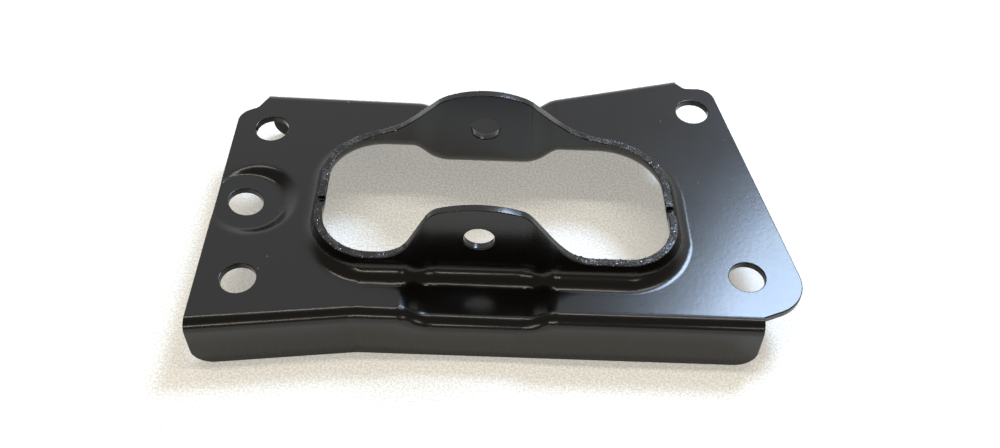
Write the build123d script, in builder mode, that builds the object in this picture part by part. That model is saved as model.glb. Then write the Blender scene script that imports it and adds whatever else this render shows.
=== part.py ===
"""Motor mounting bracket: one pressed and pierced sheet-steel part, all lengths in millimetres.

The frame has +Z up and +X along the bracket. The motor bolt runs along Y through the two ears, and the
origin is the middle of that bolt, halfway between the ears.
"""
import os
from math import radians, sqrt, tan

from build123d import *

# Sheet and bends
sheet = 3.0
flange_height = 24.0
flange_bend_radius = 5.0
collar_root_radius = 6.5

# Plan of the plate: each flange line has one kink, and the two short sides stay open
left_edge_x = -101.5
left_edge_slant = 0.7
right_edge_x = 109.2
right_edge_slant = 14.0
front_flange_y = -51.0
front_kink_x = -44.0
front_left_slant = 7.0
back_flange_y = 57.6
back_kink_x = 7.0
back_left_slant = 1.3
back_right_slant = 14.6
kink_radius = 25.0

# Relieved corners of the plate and the ends of the flanges
corner_radius = 7.0
relief_radius = 3.0
relief_step = 3.0
back_left_flange_end_x = -91.0
back_left_relief_y = 50.5
back_left_relief_length = 5.5
back_left_corner_y = 47.0
back_right_flange_end_x = 78.0
back_right_corner_y = 69.3
front_right_flange_end_x = 101.2
front_right_relief_y = -46.2
front_right_lobe_radius = 14.0
front_right_lobe_slant = 23.0
flange_corner_radius = 8.0

# Collar round the opening, measured to its outside wall
lobe_half_width = 32.0
ear_half_width = 28.5
waist_half_length = 17.0
waist_run = 10.0
waist_radius = 16.0
left_lobe_end_x = -61.5
left_lobe_radius = 22.0
right_lobe_end_x = 71.0
right_lobe_slant = 4.0
right_front_lobe_radius = 19.0
right_back_lobe_radius = 27.0

# Sheared top edge of the collar, above the plate
front_rim_height = 8.7
rear_rim_height = 6.9
rim_step_y = -5.0
front_ear_height = 32.0
front_ear_crown_radius = 44.0
front_ear_crown_half_width = 17.0
front_ear_left_foot_x = -29.0
front_ear_right_foot_x = 35.0
front_ear_shoulder_radius = 9.0
front_ear_foot_radius = 14.0
rear_ear_height = 34.0
rear_ear_crown_radius = 35.0
rear_ear_crown_half_width = 17.0
rear_ear_left_foot_x = -35.0
rear_ear_right_foot_x = 35.0
rear_ear_shoulder_radius = 12.0
rear_ear_foot_radius = 32.0
rim_notch_width = 5.5
rim_notch_depth = 2.0

# Trough across the plate under both ears
trough_depth = 4.0
trough_half_width = 26.0
trough_slope = 32.0
trough_shoulder_radius = 10.0
trough_floor_radius = 14.0

# Tilted seat pressed into the plate beside the left edge
seat_x = -90.5
seat_y = 1.5
seat_depth = 2.4
seat_tilt = 10.0
seat_radius = 12.5
seat_rim_x = -87.6
seat_rim_y = 1.0
seat_rim_radius = 17.4
seat_rim_blend = 5.0

# Holes
plate_hole_diameter = 13.0
ear_hole_diameter = 11.0
ear_hole_height = 16.5
left_hole_x = -86.3
left_hole_spacing = 75.0
left_hole_middle_y = 1.0
back_right_hole = (83.4, 55.5)
front_right_hole = (96.8, -28.5)

# Heights that follow from the sizes above
plate_top = -ear_hole_height
floor = plate_top - flange_height
front_rim = plate_top + front_rim_height
rear_rim = plate_top + rear_rim_height
collar_top = plate_top + max(front_ear_height, rear_ear_height)
reach = 2 * max(right_edge_x, -left_edge_x)


def rounded_face(corners):
    """Fills a closed outline of (x, y, radius) corners. A radius of zero keeps its corner sharp."""
    points = [corner[:2] for corner in corners]
    radii = [corner[2] for corner in corners]
    with BuildLine() as outline:
        FilletPolyline(*points, radius=radii, close=True)
    make_face(outline.edges())


def rise(angle, run):
    """Height that a line at this angle climbs over this run."""
    return run * tan(radians(angle))


def right_edge_at(y):
    """The slanted right edge of the plate."""
    return right_edge_x - rise(right_edge_slant, y)


def left_edge_at(y):
    """The left edge of the plate, which leans the same way."""
    return left_edge_x + rise(left_edge_slant, y)


def section_corners(top, bottom):
    """Section across the bracket: level plate, with the trough under the ears between its two ramps."""
    ramp = trough_depth / tan(radians(trough_slope))
    floor_half_width = trough_half_width - ramp
    return [
        (-reach, bottom, 0),
        (reach, bottom, 0),
        (reach, top, 0),
        (trough_half_width, top, trough_shoulder_radius),
        (floor_half_width, top - trough_depth, trough_floor_radius),
        (-floor_half_width, top - trough_depth, trough_floor_radius),
        (-trough_half_width, top, trough_shoulder_radius),
        (-reach, top, 0),
    ]


def flange_corners():
    """Plan of the outside faces of both flanges, which runs on past the two open sides."""
    return [
        (-reach, front_flange_y - rise(front_left_slant, front_kink_x + reach), 0),
        (front_kink_x, front_flange_y, kink_radius),
        (reach, front_flange_y, 0),
        (reach, back_flange_y + rise(back_right_slant, reach - back_kink_x), 0),
        (back_kink_x, back_flange_y, kink_radius),
        (-reach, back_flange_y + rise(back_left_slant, back_kink_x + reach), 0),
    ]


def collar_corners():
    """Plan of the collar's outside wall: two lobes, drawn in at the waist where the ears stand."""
    waist_end = waist_half_length + waist_run
    front_right_x = right_lobe_end_x + rise(right_lobe_slant, lobe_half_width)
    back_right_x = right_lobe_end_x - rise(right_lobe_slant, lobe_half_width)
    return [
        (left_lobe_end_x, -lobe_half_width, left_lobe_radius),
        (-waist_end, -lobe_half_width, waist_radius),
        (-waist_half_length, -ear_half_width, waist_radius),
        (waist_half_length, -ear_half_width, waist_radius),
        (waist_end, -lobe_half_width, waist_radius),
        (front_right_x, -lobe_half_width, right_front_lobe_radius),
        (back_right_x, lobe_half_width, right_back_lobe_radius),
        (waist_end, lobe_half_width, waist_radius),
        (waist_half_length, ear_half_width, waist_radius),
        (-waist_half_length, ear_half_width, waist_radius),
        (-waist_end, lobe_half_width, waist_radius),
        (left_lobe_end_x, lobe_half_width, left_lobe_radius),
    ]


def blank_corners():
    """Plan that the pressed sheet is trimmed to, with the reliefs beside three flange ends."""
    lobe_run = (right_edge_at(front_right_relief_y) - front_right_flange_end_x) / (
        1 + tan(radians(right_edge_slant)) * tan(radians(front_right_lobe_slant))
    )
    lobe_x = front_right_flange_end_x + lobe_run
    lobe_y = front_right_relief_y + rise(front_right_lobe_slant, lobe_run)
    return [
        (left_edge_at(-reach), -reach, 0),
        (front_right_flange_end_x, -reach, 0),
        (front_right_flange_end_x, front_right_relief_y, 0),
        (lobe_x, lobe_y, front_right_lobe_radius),
        (right_edge_at(back_right_corner_y), back_right_corner_y, corner_radius),
        (back_right_flange_end_x + relief_step, back_right_corner_y, relief_radius),
        (back_right_flange_end_x, back_right_corner_y + relief_step, 0),
        (back_right_flange_end_x, reach, 0),
        (back_left_flange_end_x, reach, 0),
        (back_left_flange_end_x, back_left_relief_y + back_left_relief_length, 0),
        (back_left_flange_end_x - relief_step, back_left_relief_y, relief_radius),
        (left_edge_at(back_left_corner_y), back_left_corner_y, corner_radius),
    ]


def pressed_form(inset):
    """Solid whose skin is the sheet's upper side, or its under side when inset by the sheet's thickness."""
    top = plate_top - inset
    with BuildPart() as form:
        # Plate with its trough, between the two flange faces
        with BuildSketch(Plane.XZ):
            rounded_face(section_corners(top, floor - inset))
        extrude(amount=reach, both=True)
        with BuildSketch(Plane.XY.offset(floor - inset)):
            rounded_face(flange_corners())
            if inset:
                offset(amount=-inset, kind=Kind.INTERSECTION)
        extrude(amount=2 * flange_height, mode=Mode.INTERSECT)
        bends = [
            edge
            for edge in form.edges()
            if abs(edge.center().Y) > lobe_half_width and edge.bounding_box().min.Z > floor + flange_height / 2
        ]
        fillet(bends, radius=flange_bend_radius - inset)

        # Tilted seat, sunk with a sloping wall round its flat floor
        seat_plane = Plane((seat_x, seat_y, top - seat_depth)).rotated((0, seat_tilt, 0))
        with BuildSketch(Plane((seat_rim_x, seat_rim_y, top))):
            Circle(seat_rim_radius)
        with BuildSketch(seat_plane):
            Circle(seat_radius)
        loft(mode=Mode.SUBTRACT)
        seat_rim = form.edges().filter_by(GeomType.CIRCLE).sort_by(Edge.length)[-1]
        fillet(seat_rim, radius=seat_rim_blend)

        # Collar, turned up out of the plate all the way round the opening
        with BuildSketch(Plane.XY.offset(floor)):
            rounded_face(collar_corners())
            if inset:
                offset(amount=-inset, kind=Kind.INTERSECTION)
        extrude(amount=collar_top + inset - floor)
        roots = [
            edge
            for wall in form.faces()
            if wall.bounding_box().max.Z > front_rim
            for edge in wall.edges()
            if edge.bounding_box().max.Z < front_rim
        ]
        fillet(roots, radius=collar_root_radius + inset)
    return form.part


def kept_profile(ear_top, crown_radius, crown_half_width, left_foot_x, right_foot_x, shoulder_radius, foot_radius, rim):
    """Face seen along the bolt that keeps everything below the rim and one ear above it."""
    crown_end = ear_top - crown_radius + sqrt(crown_radius**2 - crown_half_width**2)
    with BuildSketch(Plane.XZ.offset(-rim_step_y)) as kept:
        with BuildLine():
            crown = ThreePointArc((-crown_half_width, crown_end), (0, ear_top), (crown_half_width, crown_end))
            Polyline(crown @ 1, (right_foot_x, rim), (left_foot_x, rim), crown @ 0)
        make_face()
        shoulders = [vertex for vertex in kept.vertices() if vertex.Y > rim + sheet]
        fillet(shoulders, radius=shoulder_radius)
        with Locations((0, rim)):
            Rectangle(2 * reach, 2 * flange_height, align=(Align.CENTER, Align.MAX))
        feet = [
            vertex
            for vertex in kept.vertices()
            if abs(vertex.Y - rim) < sheet and left_foot_x - sheet < vertex.X < right_foot_x + sheet
        ]
        fillet(feet, radius=foot_radius)
    return kept.sketch


with BuildPart() as edge_trim:
    front_kept = kept_profile(
        plate_top + front_ear_height,
        front_ear_crown_radius,
        front_ear_crown_half_width,
        front_ear_left_foot_x,
        front_ear_right_foot_x,
        front_ear_shoulder_radius,
        front_ear_foot_radius,
        front_rim,
    )
    extrude(front_kept, amount=reach)
    rear_kept = kept_profile(
        plate_top + rear_ear_height,
        rear_ear_crown_radius,
        rear_ear_crown_half_width,
        rear_ear_left_foot_x,
        rear_ear_right_foot_x,
        rear_ear_shoulder_radius,
        rear_ear_foot_radius,
        rear_rim,
    )
    extrude(rear_kept, amount=-reach)

upper_skin = pressed_form(0)
under_skin = pressed_form(sheet)

with BuildPart() as bracket:
    # Pressed sheet: everything between the two skins
    add(upper_skin)
    add(under_skin, mode=Mode.SUBTRACT)

    # Trimmed to the blank's outline, and along the sheared edge of the collar
    with BuildSketch(Plane.XY.offset(floor - sheet)):
        rounded_face(blank_corners())
    extrude(amount=reach, mode=Mode.INTERSECT)
    add(edge_trim.part, mode=Mode.INTERSECT)

    # Notches left in the collar's edge at both lobe ends
    with Locations((left_lobe_end_x, rim_step_y, rear_rim), (right_lobe_end_x, rim_step_y, rear_rim)):
        Box(4 * sheet, rim_notch_width, 2 * rim_notch_depth, mode=Mode.SUBTRACT)

    # Rounded lower corners of both flanges
    flange_ends = [
        edge
        for edge in bracket.edges()
        if abs(edge.center().Z - floor) < sheet / 2 and edge.length < 2 * sheet and abs((edge % 0.5).Y) > 0.9
    ]
    fillet(flange_ends, radius=flange_corner_radius)

    # Fixing holes in the plate
    left_hole_front = left_hole_middle_y - left_hole_spacing / 2
    left_hole_back = left_hole_middle_y + left_hole_spacing / 2
    with BuildSketch(Plane.XY.offset(plate_top)):
        with Locations(
            (left_hole_x, left_hole_front), (left_hole_x, left_hole_back), back_right_hole, front_right_hole
        ):
            Circle(plate_hole_diameter / 2)
    extrude(amount=2 * sheet, both=True, mode=Mode.SUBTRACT)

    # Hole square to the tilted seat
    with BuildSketch(Plane((seat_x, seat_y, plate_top - seat_depth)).rotated((0, seat_tilt, 0))):
        Circle(plate_hole_diameter / 2)
    extrude(amount=2 * sheet, both=True, mode=Mode.SUBTRACT)

    # Bolt bore through both ears
    with BuildSketch(Plane.XZ):
        Circle(ear_hole_diameter / 2)
    extrude(amount=2 * ear_half_width, both=True, mode=Mode.SUBTRACT)

os.makedirs("parts", exist_ok=True)
bracket.part.label = "mounting_bracket"
export_step(bracket.part, "parts/mounting_bracket.step")
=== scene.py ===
# %% [markdown]
# # Motor mounting bracket
#
# The object is one sheet of steel, three millimetres thick, pressed in a die, pierced and then dipped
# in black electrophoretic paint. A flanged plate has a dog-bone opening in the middle, and the sheet
# round the opening is turned up into a collar that rises into two ears for one bolt.
#
# The construction model already holds the true form, so this lesson is about the finish: how a pressed
# and painted part gets its soft edges, its torn collar edge and the slow gloss of its paint.

from math import cos, pi, radians, sin

import bmesh
import bpy
from mathutils import Matrix, Vector


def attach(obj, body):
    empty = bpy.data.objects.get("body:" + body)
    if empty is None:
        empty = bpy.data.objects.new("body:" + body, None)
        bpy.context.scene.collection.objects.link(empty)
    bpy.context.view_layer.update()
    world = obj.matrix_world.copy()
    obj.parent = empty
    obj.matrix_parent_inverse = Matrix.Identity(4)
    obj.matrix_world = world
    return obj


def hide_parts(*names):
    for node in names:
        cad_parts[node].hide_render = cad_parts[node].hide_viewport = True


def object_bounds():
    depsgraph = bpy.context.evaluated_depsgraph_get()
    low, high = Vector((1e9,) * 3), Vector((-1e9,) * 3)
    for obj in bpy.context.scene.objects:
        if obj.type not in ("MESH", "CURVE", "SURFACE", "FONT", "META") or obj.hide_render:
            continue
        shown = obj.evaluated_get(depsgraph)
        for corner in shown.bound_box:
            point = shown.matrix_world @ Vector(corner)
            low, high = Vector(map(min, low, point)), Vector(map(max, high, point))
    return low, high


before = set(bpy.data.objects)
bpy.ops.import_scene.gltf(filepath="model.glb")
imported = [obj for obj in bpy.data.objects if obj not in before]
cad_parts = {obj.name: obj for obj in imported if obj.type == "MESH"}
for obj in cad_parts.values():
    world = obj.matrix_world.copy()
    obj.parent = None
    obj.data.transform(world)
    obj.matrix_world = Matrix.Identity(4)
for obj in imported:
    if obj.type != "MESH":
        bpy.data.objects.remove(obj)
cad_low, cad_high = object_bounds()

MM = 0.001
BODY = "root"
NODE = "mounting_bracket"
print("construction box, mm:", [round(side / MM, 1) for side in cad_high - cad_low])

# %% [markdown]
# ## Heights taken from the frame
#
# The bracket stands on the lower edges of its flanges, so the lowest point of the frame is the floor.
# The other heights are measured up from there: the plate's upper side, a level just under the collar's
# cut edge, and the level where the ears have left the round ends behind.

# %% Heights
PLATE_HEIGHT = 24.0 * MM
CUT_EDGE_ABOVE_PLATE = 6.2 * MM
EARS_ABOVE_PLATE = 12.0 * MM

FLOOR_Z = cad_low.z
PLATE_Z = FLOOR_Z + PLATE_HEIGHT
CUT_EDGE_Z = PLATE_Z + CUT_EDGE_ABOVE_PLATE
EAR_FOOT_Z = PLATE_Z + EARS_ABOVE_PLATE
print("plate at", round(PLATE_Z / MM, 2), "mm, floor at", round(FLOOR_Z / MM, 2), "mm")

# %% [markdown]
# ## Two small helpers
#
# Colours are written as the hex values that a paint chart would give, and turned linear in one place.
# Materials are built node by node, so one function adds a node with its settings and links. A socket is
# called by its name, or by its place where a node gives several sockets the same name, as Mix does.

# %% Helpers
COLOUR_A, COLOUR_B, COLOUR_OUT = 6, 7, 2
NUMBER_A, NUMBER_B, NUMBER_OUT = 2, 3, 0


def linear(hex_colour):
    """An sRGB hex colour as the linear colour that Blender's sockets expect."""
    channels = [int(hex_colour[place : place + 2], 16) / 255 for place in (1, 3, 5)]
    bent = [c / 12.92 if c <= 0.04045 else ((c + 0.055) / 1.055) ** 2.4 for c in channels]
    return (*bent, 1.0)


def add_node(tree, kind, settings=None, inputs=None, links=None):
    """Adds one node: its properties, its socket values, and the sockets that feed it."""
    made = tree.nodes.new(kind)
    for name, value in (settings or {}).items():
        setattr(made, name, value)
    for name, value in (inputs or {}).items():
        made.inputs[name].default_value = value
    for name, source in (links or {}).items():
        tree.links.new(source, made.inputs[name])
    return made


print("a middle grey, linear:", [round(c, 3) for c in linear("#808080")])

# %% [markdown]
# ## The pressed sheet
#
# A construction mesh is made of loose triangles with knife-sharp edges. Real sheared sheet never is:
# the punch rolls the upper edge over and the paint rounds it again. So the node is copied, its loose
# triangles are merged, and a narrow bevel runs along every sharp edge. Weighted normals keep the flat
# areas flat right up to the bevel, which is what makes reflections on painted sheet look calm.

# %% Copy and merge the sheet
WELD = 1e-6
FLAT_WITHIN = radians(0.2)


def merged_copy(source, name):
    """A welded copy of a construction node, with flat areas freed of their needless triangles."""
    welded = bmesh.new()
    welded.from_mesh(source.data)
    bmesh.ops.remove_doubles(welded, verts=welded.verts, dist=WELD)
    bmesh.ops.dissolve_limit(welded, angle_limit=FLAT_WITHIN, verts=welded.verts, edges=welded.edges)
    mesh = bpy.data.meshes.new(name)
    welded.to_mesh(mesh)
    welded.free()
    if "custom_normal" in mesh.attributes:
        mesh.attributes.remove(mesh.attributes["custom_normal"])
    copy = bpy.data.objects.new(name, mesh)
    bpy.context.scene.collection.objects.link(copy)
    return copy


bracket = merged_copy(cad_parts[NODE], "pressed_bracket")
print("welded sheet:", len(bracket.data.vertices), "vertices")

# %% Round the sheared edges
EDGE_ROLL = 0.45 * MM
ROLL_STEPS = 3
SHARP_ANGLE = radians(50)
FLAT_AREA_WEIGHT = 100


def finished_mesh(piece):
    """Applies what the modifiers make of the piece, and takes them off again."""
    graph = bpy.context.evaluated_depsgraph_get()
    made = bpy.data.meshes.new_from_object(piece.evaluated_get(graph))
    piece.modifiers.clear()
    old = piece.data
    piece.data = made
    bpy.data.meshes.remove(old)


for face in bracket.data.polygons:
    face.use_smooth = True
roll = bracket.modifiers.new("rolled edges", "BEVEL")
roll.width = EDGE_ROLL
roll.segments = ROLL_STEPS
roll.limit_method = "ANGLE"
roll.angle_limit = SHARP_ANGLE
roll.use_clamp_overlap = False
roll.harden_normals = False
even = bracket.modifiers.new("flat areas stay flat", "WEIGHTED_NORMAL")
even.mode = "FACE_AREA"
even.weight = FLAT_AREA_WEIGHT
even.keep_sharp = True
finished_mesh(bracket)
print("rolled sheet:", len(bracket.data.polygons), "faces")

# %% [markdown]
# ## Where the punch went through
#
# A pierced edge has a smooth sheared band and a rough torn one. The finish needs to know where that edge
# is, so its faces are found by what they are: high on the collar and facing up. The mark is kept on the
# mesh as an attribute, full on the two round ends, where the stretched rim tore, and weak on the ears.
# The bores for the bolt also have faces that look up, and they stay clean.

# %% Mark the cut edge and the flat plate
UPWARDS = 0.5
EAR_TEAR = 0.12
BOLT_BORE_REACH = 7.0 * MM
LEVEL = 0.99
PLATE_SLACK = 0.3 * MM


def mark_faces(mesh, name, strength_of):
    """Keeps a number between 0 and 1 for each point, taken from the faces round it."""
    values = [0.0] * len(mesh.vertices)
    for face in mesh.polygons:
        strength = strength_of(face)
        for corner in face.vertices:
            values[corner] = max(values[corner], strength)
    mesh.attributes.new(name, "FLOAT", "POINT").data.foreach_set("value", values)
    return sum(value > 0 for value in values)


def tear(face):
    """How torn a face is. The bolt runs along Y through the origin."""
    in_bolt_bore = Vector((face.center.x, face.center.z)).length < BOLT_BORE_REACH
    if in_bolt_bore or face.center.z < CUT_EDGE_Z or face.normal.z < UPWARDS:
        return 0.0
    return 1.0 if face.center.z < EAR_FOOT_Z else EAR_TEAR


def flat_plate(face):
    return 1.0 if face.normal.z > LEVEL and abs(face.center.z - PLATE_Z) < PLATE_SLACK else 0.0


print("cut edge points:", mark_faces(bracket.data, "tear", tear))
print("plate points:", mark_faces(bracket.data, "plate", flat_plate))

# %% [markdown]
# ## Black e-coat
#
# Electrophoretic paint is a thin epoxy film, baked until it levels. It is a dielectric with an index of
# refraction just under 1.5, nearly black, with a soft mirror image and a faint orange peel about a
# millimetre and a half across. Handling leaves patches a few centimetres wide that are a little duller.
# On the torn edge the film is thin over broken steel, so in patches it is greyer, duller and rougher.

# %% E-coat sizes and colours
EPOXY_IOR = 1.47
PEEL_SIZE = 1.6 * MM
PEEL_DEPTH = 0.06 * MM
PEEL_STRENGTH = 0.2
SMUDGE_SIZE = 28 * MM
CLEAN_GLOSS, HANDLED_GLOSS, TORN_GLOSS = 0.15, 0.23, 0.38
PATCH_SIZE = 6 * MM
FRACTURE_SIZE = 0.7 * MM
FRACTURE_DEPTH = 0.5 * MM
WARM_BLACK, COOL_BLACK = linear("#0f0c09"), linear("#0a0b0d")
FRACTURE_DARK, FRACTURE_LIGHT = linear("#0b0a0a"), linear("#4a4846")
print("peel", PEEL_SIZE / MM, "mm, smudges", SMUDGE_SIZE / MM, "mm, fractures", FRACTURE_SIZE / MM, "mm")

# %% E-coat material
def torn_share(tree, place):
    """The kept mark of the cut edge, broken into patches."""
    mark = add_node(tree, "ShaderNodeAttribute", {"attribute_name": "tear"})
    patch = add_node(tree, "ShaderNodeTexNoise", inputs={"Scale": 1 / PATCH_SIZE}, links={"Vector": place})
    bare = add_node(
        tree,
        "ShaderNodeMapRange",
        inputs={"From Min": 0.42, "From Max": 0.62},
        links={"Value": patch.outputs["Fac"]},
    )
    both = {0: mark.outputs["Fac"], 1: bare.outputs["Result"]}
    return add_node(tree, "ShaderNodeMath", {"operation": "MULTIPLY"}, links=both).outputs[0]


def film_colour(tree, smudge, broken, torn):
    """Near-black that drifts between warm and cool, and grey steel where the edge is torn."""
    blend = {"data_type": "RGBA"}
    film = add_node(
        tree, "ShaderNodeMix", blend, {COLOUR_A: WARM_BLACK, COLOUR_B: COOL_BLACK}, {"Factor": smudge}
    )
    steel = add_node(
        tree, "ShaderNodeMix", blend, {COLOUR_A: FRACTURE_DARK, COLOUR_B: FRACTURE_LIGHT}, {"Factor": broken}
    )
    sources = {"Factor": torn, COLOUR_A: film.outputs[COLOUR_OUT], COLOUR_B: steel.outputs[COLOUR_OUT]}
    return add_node(tree, "ShaderNodeMix", blend, links=sources).outputs[COLOUR_OUT]


def film_roughness(tree, smudge, torn):
    """Handled patches are duller than clean ones, and the torn edge is duller still."""
    gloss = add_node(
        tree,
        "ShaderNodeMapRange",
        inputs={"To Min": CLEAN_GLOSS, "To Max": HANDLED_GLOSS},
        links={"Value": smudge},
    )
    sources = {"Factor": torn, NUMBER_A: gloss.outputs["Result"]}
    dull = add_node(tree, "ShaderNodeMix", {"data_type": "FLOAT"}, {NUMBER_B: TORN_GLOSS}, sources)
    return dull.outputs[NUMBER_OUT]


def film_bump(tree, place, broken, torn):
    """Orange peel everywhere, and broken steel on top of it along the torn edge."""
    peel = add_node(
        tree,
        "ShaderNodeTexNoise",
        inputs={"Scale": 1 / PEEL_SIZE, "Detail": 2.0},
        links={"Vector": place},
    )
    level = add_node(
        tree,
        "ShaderNodeBump",
        inputs={"Strength": PEEL_STRENGTH, "Distance": PEEL_DEPTH},
        links={"Height": peel.outputs["Fac"]},
    )
    rough = add_node(
        tree,
        "ShaderNodeBump",
        inputs={"Distance": FRACTURE_DEPTH},
        links={"Height": broken, "Strength": torn, "Normal": level.outputs["Normal"]},
    )
    return rough.outputs["Normal"]


# %% Put the e-coat together
def black_e_coat():
    coat = bpy.data.materials.new("black e-coat on steel")
    coat.use_nodes = True
    tree = coat.node_tree
    shader = tree.nodes["Principled BSDF"]
    shader.inputs["IOR"].default_value = EPOXY_IOR
    place = add_node(tree, "ShaderNodeTexCoord").outputs["Object"]
    torn = torn_share(tree, place)
    smudge = add_node(
        tree,
        "ShaderNodeTexNoise",
        inputs={"Scale": 1 / SMUDGE_SIZE, "Detail": 3.0},
        links={"Vector": place},
    ).outputs["Fac"]
    broken = add_node(
        tree,
        "ShaderNodeTexVoronoi",
        inputs={"Scale": 1 / FRACTURE_SIZE},
        links={"Vector": place},
    ).outputs["Distance"]
    tree.links.new(film_colour(tree, smudge, broken, torn), shader.inputs["Base Color"])
    tree.links.new(film_roughness(tree, smudge, torn), shader.inputs["Roughness"])
    tree.links.new(film_bump(tree, place, broken, torn), shader.inputs["Normal"])
    return coat


e_coat = black_e_coat()
bracket.data.materials.clear()
bracket.data.materials.append(e_coat)
print("finish:", e_coat.name)

# %% [markdown]
# ## Burrs and dust
#
# The torn rim stands up in small shiny burrs, and the plate holds a few specks of dust under the film.
# Both repeat without a rule, so Geometry Nodes scatters one small facetted chip over the marked faces,
# turned and sized at random from a fixed seed, and makes the result a plain mesh.

# %% Finishes of the small chips
CHIP_DARK = linear("#161514")
CHIP_DRIFT = 0.3


def chip_finish(name, colour, roughness, metallic):
    """A small-part finish whose tone and gloss drift a little from chip to chip."""
    finish = bpy.data.materials.new(name)
    finish.use_nodes = True
    tree = finish.node_tree
    shader = tree.nodes["Principled BSDF"]
    shader.inputs["Metallic"].default_value = metallic
    place = add_node(tree, "ShaderNodeTexCoord").outputs["Object"]
    drift = add_node(
        tree, "ShaderNodeTexNoise", inputs={"Scale": 1 / FRACTURE_SIZE}, links={"Vector": place}
    ).outputs["Fac"]
    tones = {COLOUR_A: CHIP_DARK, COLOUR_B: linear(colour)}
    tone = add_node(tree, "ShaderNodeMix", {"data_type": "RGBA"}, tones, {"Factor": drift})
    tree.links.new(tone.outputs[COLOUR_OUT], shader.inputs["Base Color"])
    limits = {"To Min": roughness * (1 - CHIP_DRIFT), "To Max": roughness * (1 + CHIP_DRIFT)}
    spread = add_node(tree, "ShaderNodeMapRange", inputs=limits, links={"Value": drift})
    tree.links.new(spread.outputs["Result"], shader.inputs["Roughness"])
    return finish


burr_steel = chip_finish("torn steel under thin e-coat", "#8f8c87", 0.16, 0.8)
dust_white = chip_finish("pale dust under the film", "#f2efe8", 0.6, 0.0)
print("chip finishes:", burr_steel.name, "and", dust_white.name)

# %% The scatter tree
FULLY_MARKED = 0.9
CHIP_TILT = 0.5


def scatter_tree(name, mark, wanted, seed, material):
    """A node group that turns a sheet into chips, and the identifiers of its named inputs."""
    tree = bpy.data.node_groups.new(name, "GeometryNodeTree")
    tree.is_modifier = True
    face = tree.interface
    face.new_socket("Sheet", in_out="INPUT", socket_type="NodeSocketGeometry")
    named = {
        label: face.new_socket(label, in_out="INPUT", socket_type=kind).identifier
        for label, (kind, _) in wanted.items()
    }
    face.new_socket("Chips", in_out="OUTPUT", socket_type="NodeSocketGeometry")

    given = add_node(tree, "NodeGroupInput").outputs
    marked = add_node(tree, "GeometryNodeInputNamedAttribute", {"data_type": "FLOAT"}, {"Name": mark})
    chosen = add_node(
        tree,
        "FunctionNodeCompare",
        inputs={"B": FULLY_MARKED},
        links={"A": marked.outputs["Attribute"]},
    )
    points = add_node(
        tree,
        "GeometryNodeDistributePointsOnFaces",
        inputs={"Seed": seed},
        links={
            "Mesh": given["Sheet"],
            "Selection": chosen.outputs["Result"],
            "Density": given["Chips per square metre"],
        },
    )
    chip = add_node(tree, "GeometryNodeMeshIcoSphere", inputs={"Radius": 1.0, "Subdivisions": 1})
    vector = {"data_type": "FLOAT_VECTOR"}
    size = add_node(
        tree,
        "FunctionNodeRandomValue",
        vector,
        {"Seed": seed},
        {"Min": given["Smallest"], "Max": given["Largest"]},
    )
    turns = {"Min": (0, 0, 0), "Max": (CHIP_TILT, CHIP_TILT, 2 * pi), "Seed": seed + 1}
    turn = add_node(tree, "FunctionNodeRandomValue", vector, turns)
    placed = add_node(
        tree,
        "GeometryNodeInstanceOnPoints",
        links={
            "Points": points.outputs["Points"],
            "Instance": chip.outputs["Mesh"],
            "Rotation": points.outputs["Rotation"],
            "Scale": size.outputs["Value"],
        },
    )
    turned = add_node(
        tree,
        "GeometryNodeRotateInstances",
        links={"Instances": placed.outputs["Instances"], "Rotation": turn.outputs["Value"]},
    )
    real = add_node(tree, "GeometryNodeRealizeInstances", links={"Geometry": turned.outputs["Instances"]})
    dressed = add_node(
        tree,
        "GeometryNodeSetMaterial",
        inputs={"Material": material},
        links={"Geometry": real.outputs["Geometry"]},
    )
    add_node(tree, "NodeGroupOutput", links={"Chips": dressed.outputs["Geometry"]})
    return tree, named


# %% Scatter the burrs and the dust
def scatter(name, mark, density, smallest, largest, seed, material):
    """Chips on the faces that carry a mark, as one mesh of their own."""
    wanted = {
        "Chips per square metre": ("NodeSocketFloat", density),
        "Smallest": ("NodeSocketVector", smallest),
        "Largest": ("NodeSocketVector", largest),
    }
    tree, named = scatter_tree(name, mark, wanted, seed, material)
    chips = bpy.data.objects.new(name, bracket.data.copy())
    bpy.context.scene.collection.objects.link(chips)
    spread = chips.modifiers.new(name, "NODES")
    spread.node_group = tree
    for label, (_, value) in wanted.items():
        spread[named[label]] = value
    finished_mesh(chips)
    print(name, len(chips.data.polygons), "faces")
    return chips


BURRS_PER_M2 = 4.5e5
SMALL_BURR = (0.2 * MM, 0.08 * MM, 0.05 * MM)
LARGE_BURR = (0.9 * MM, 0.3 * MM, 0.25 * MM)
SPECKS_PER_M2 = 700
SMALL_SPECK = (0.12 * MM, 0.12 * MM, 0.03 * MM)
LARGE_SPECK = (0.3 * MM, 0.3 * MM, 0.06 * MM)

burrs = scatter("torn_burrs", "tear", BURRS_PER_M2, SMALL_BURR, LARGE_BURR, 7, burr_steel)
specks = scatter("dust_specks", "plate", SPECKS_PER_M2, SMALL_SPECK, LARGE_SPECK, 11, dust_white)

# %% Hand the pieces to the frame
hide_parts(NODE)
for piece in (bracket, burrs, specks):
    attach(piece, BODY)
print("pieces on the frame:", bracket.name, burrs.name, specks.name)

# %% [markdown]
# ## Floor
#
# The bracket rests on a pale sanded board that takes its shadow. The board is lit like anything else,
# and is lifted a little only where the eye, a mirror or glass looks at it, so that its shadow stays soft
# and no lamp has to be turned up for it. Away from the bracket the lift grows until the board is white
# and meets the backdrop without an edge.

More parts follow.
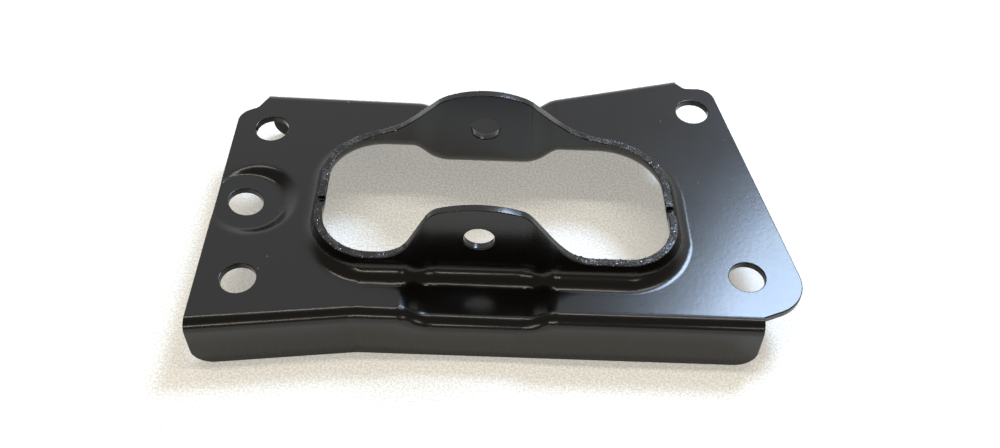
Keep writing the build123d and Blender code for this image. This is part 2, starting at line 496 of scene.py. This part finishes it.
# %% Rays that look
def looked_upon(tree, mirror_share=None):
    """1 for rays from the eye or through glass, and a share of 1 for rays from a mirror."""
    seen = add_node(tree, "ShaderNodeLightPath").outputs
    eye_rays = {0: seen["Is Camera Ray"], 1: seen["Is Transmission Ray"]}
    eye = add_node(tree, "ShaderNodeMath", {"operation": "MAXIMUM"}, links=eye_rays)
    mirror = add_node(
        tree, "ShaderNodeMath", {"operation": "MULTIPLY"}, {1: 1.0}, {0: seen["Is Glossy Ray"]}
    )
    if mirror_share is not None:
        tree.links.new(mirror_share, mirror.inputs[1])
    either = {0: eye.outputs[0], 1: mirror.outputs[0]}
    return add_node(tree, "ShaderNodeMath", {"operation": "MAXIMUM"}, links=either).outputs[0]


# %% Floor
FLOOR_HALF = 1.2
GRAIN_SIZE = 0.9 * MM
GRAIN_DARK, GRAIN_LIGHT = linear("#e7e4db"), linear("#fffdf6")
FLOOR_LIFT = 0.38
FADE_START = 0.25
FADE_END = 0.8


def pale_board():
    """Pale board: its own colour for the lamps, and a lift where something looks at it."""
    board = bpy.data.materials.new("pale sanded board")
    board.use_nodes = True
    tree = board.node_tree
    shader = tree.nodes["Principled BSDF"]
    shader.inputs["Roughness"].default_value = 0.6
    place = add_node(tree, "ShaderNodeTexCoord").outputs["Object"]
    grain = add_node(
        tree,
        "ShaderNodeTexNoise",
        inputs={"Scale": 1 / GRAIN_SIZE, "Detail": 4.0},
        links={"Vector": place},
    )
    crisp = add_node(
        tree,
        "ShaderNodeMapRange",
        inputs={"From Min": 0.4, "From Max": 0.6},
        links={"Value": grain.outputs["Fac"]},
    )
    tones = {COLOUR_A: GRAIN_DARK, COLOUR_B: GRAIN_LIGHT}
    tone = add_node(tree, "ShaderNodeMix", {"data_type": "RGBA"}, tones, {"Factor": crisp.outputs["Result"]})
    tree.links.new(tone.outputs[COLOUR_OUT], shader.inputs["Base Color"])
    far = add_node(tree, "ShaderNodeVectorMath", {"operation": "LENGTH"}, links={"Vector": place})
    fade = add_node(
        tree,
        "ShaderNodeMapRange",
        inputs={"From Min": FADE_START, "From Max": FADE_END, "To Min": FLOOR_LIFT, "To Max": 1.0},
        links={"Value": far.outputs["Value"]},
    )
    shares = {0: looked_upon(tree), 1: fade.outputs["Result"]}
    strength = add_node(tree, "ShaderNodeMath", {"operation": "MULTIPLY"}, links=shares)
    glow = {"Color": tone.outputs[COLOUR_OUT], "Strength": strength.outputs[0]}
    lift = add_node(tree, "ShaderNodeEmission", links=glow)
    both = add_node(tree, "ShaderNodeAddShader", links={0: shader.outputs[0], 1: lift.outputs[0]})
    tree.links.new(both.outputs[0], tree.nodes["Material Output"].inputs["Surface"])
    return board


def floor_board():
    mesh = bpy.data.meshes.new("floor")
    corners = [(x * FLOOR_HALF, y * FLOOR_HALF, FLOOR_Z) for x, y in ((-1, -1), (1, -1), (1, 1), (-1, 1))]
    mesh.from_pydata(corners, [], [(0, 1, 2, 3)])
    board = bpy.data.objects.new("floor", mesh)
    bpy.context.scene.collection.objects.link(board)
    mesh.materials.append(pale_board())


floor_board()
print("floor at", round(FLOOR_Z / MM, 1), "mm")

# %% [markdown]
# ## Lamps
#
# Black paint shows nothing of its own colour: what the eye reads as its surface is the room in it. So
# each lamp is a soft panel, placed by the direction in which a part of the bracket mirrors it. The
# window lies in the wide right end of the plate, the long narrow panel overhead draws a thin line along
# every bend, and the two low ones in front draw the second line. The panels are kept small, so that
# they are bright in the paint and still light the floor at a plain level.

# %% Soft panels
def soft_panel(name, azimuth, elevation, distance, width, height, radiance, colour):
    """A rectangular panel that faces the bracket from a direction, as bright as its radiance says."""
    lamp = bpy.data.lights.new(name, "AREA")
    lamp.shape = "RECTANGLE"
    lamp.size = width
    lamp.size_y = height
    lamp.energy = radiance * pi * width * height
    lamp.color = linear(colour)[:3]
    panel = bpy.data.objects.new(name, lamp)
    east, north = sin(radians(azimuth)), cos(radians(azimuth))
    flat = cos(radians(elevation))
    towards = Vector((east * flat, north * flat, sin(radians(elevation))))
    panel.location = towards * distance
    panel.rotation_euler = towards.to_track_quat("Z", "Y").to_euler()
    bpy.context.scene.collection.objects.link(panel)


# name, degrees from +Y towards +X, degrees up, metres away, width, height, radiance, colour
PANELS = (
    ("window", 37, 53, 1.3, 0.36, 0.36, 33.0, "#c6dfff"),
    ("overhead", 0, 84, 1.3, 1.4, 0.09, 12.0, "#fff8ec"),
    ("front left", 196, 22, 1.4, 0.7, 0.08, 14.0, "#fff3e2"),
    ("front right", 158, 24, 1.4, 0.3, 0.1, 9.0, "#fff3e4"),
)
for panel in PANELS:
    soft_panel(*panel)
print("lamps:", len(bpy.data.lights))

# %% [markdown]
# ## The room
#
# A white backdrop stands behind the bracket, so the eye, glass and any mirror turned that way see white.
# The room in front of it is dim. That difference is what makes the rounded bends read as round.

# %% World
BACKDROP_STARTS, BACKDROP_FULL = 0.0, 0.5
ROOM_COLOUR, ROOM_STRENGTH = linear("#d9cfc0"), 0.35
WHITE_BACKDROP = linear("#ffffff")


def studio_room():
    world = bpy.data.worlds.new("studio")
    bpy.context.scene.world = world
    world.use_nodes = True
    sky = world.node_tree
    sky.nodes.clear()
    towards = add_node(sky, "ShaderNodeTexCoord").outputs["Generated"]
    direction = add_node(sky, "ShaderNodeSeparateXYZ", links={"Vector": towards})
    behind = add_node(
        sky,
        "ShaderNodeMapRange",
        {"interpolation_type": "SMOOTHSTEP"},
        {"From Min": BACKDROP_STARTS, "From Max": BACKDROP_FULL},
        {"Value": direction.outputs["Y"]},
    )
    white_share = looked_upon(sky, behind.outputs["Result"])
    dim = {"Color": ROOM_COLOUR, "Strength": ROOM_STRENGTH}
    room = add_node(sky, "ShaderNodeBackground", inputs=dim)
    white = add_node(sky, "ShaderNodeBackground", inputs={"Color": WHITE_BACKDROP, "Strength": 1.0})
    sides = {0: white_share, 1: room.outputs[0], 2: white.outputs[0]}
    choice = add_node(sky, "ShaderNodeMixShader", links=sides)
    add_node(sky, "ShaderNodeOutputWorld", links={"Surface": choice.outputs[0]})
    print("room:", world.name)


studio_room()

# %% [markdown]
# ## Camera
#
# The camera looks down at the bracket from the front, a little to one side and very slightly rolled, as
# a hand would hold it. It is aimed first and then backed away along its own line of sight.

# %% Camera
AIM = Vector((6.9, -12.8, -10.1)) * MM
AIM_DISTANCE = 400 * MM
TURN = 1.135
LOOK_DOWN = 50.44
ROLL = 1.007
LENS = 39.3
SENSOR_WIDTH = 36

camera_data = bpy.data.cameras.new("camera")
camera_data.lens = LENS
camera_data.sensor_width = SENSOR_WIDTH
camera = bpy.data.objects.new("camera", camera_data)
bpy.context.scene.collection.objects.link(camera)
facing = (
    Matrix.Rotation(radians(TURN), 4, "Z")
    @ Matrix.Rotation(radians(90 - LOOK_DOWN), 4, "X")
    @ Matrix.Rotation(radians(ROLL), 4, "Z")
)
camera.matrix_world = Matrix.Translation(AIM) @ facing @ Matrix.Translation((0, 0, AIM_DISTANCE))
bpy.context.scene.camera = camera
bpy.context.scene.view_settings.view_transform = "Standard"
print("camera:", LENS, "mm lens,", round(AIM_DISTANCE / MM), "mm from its aim")
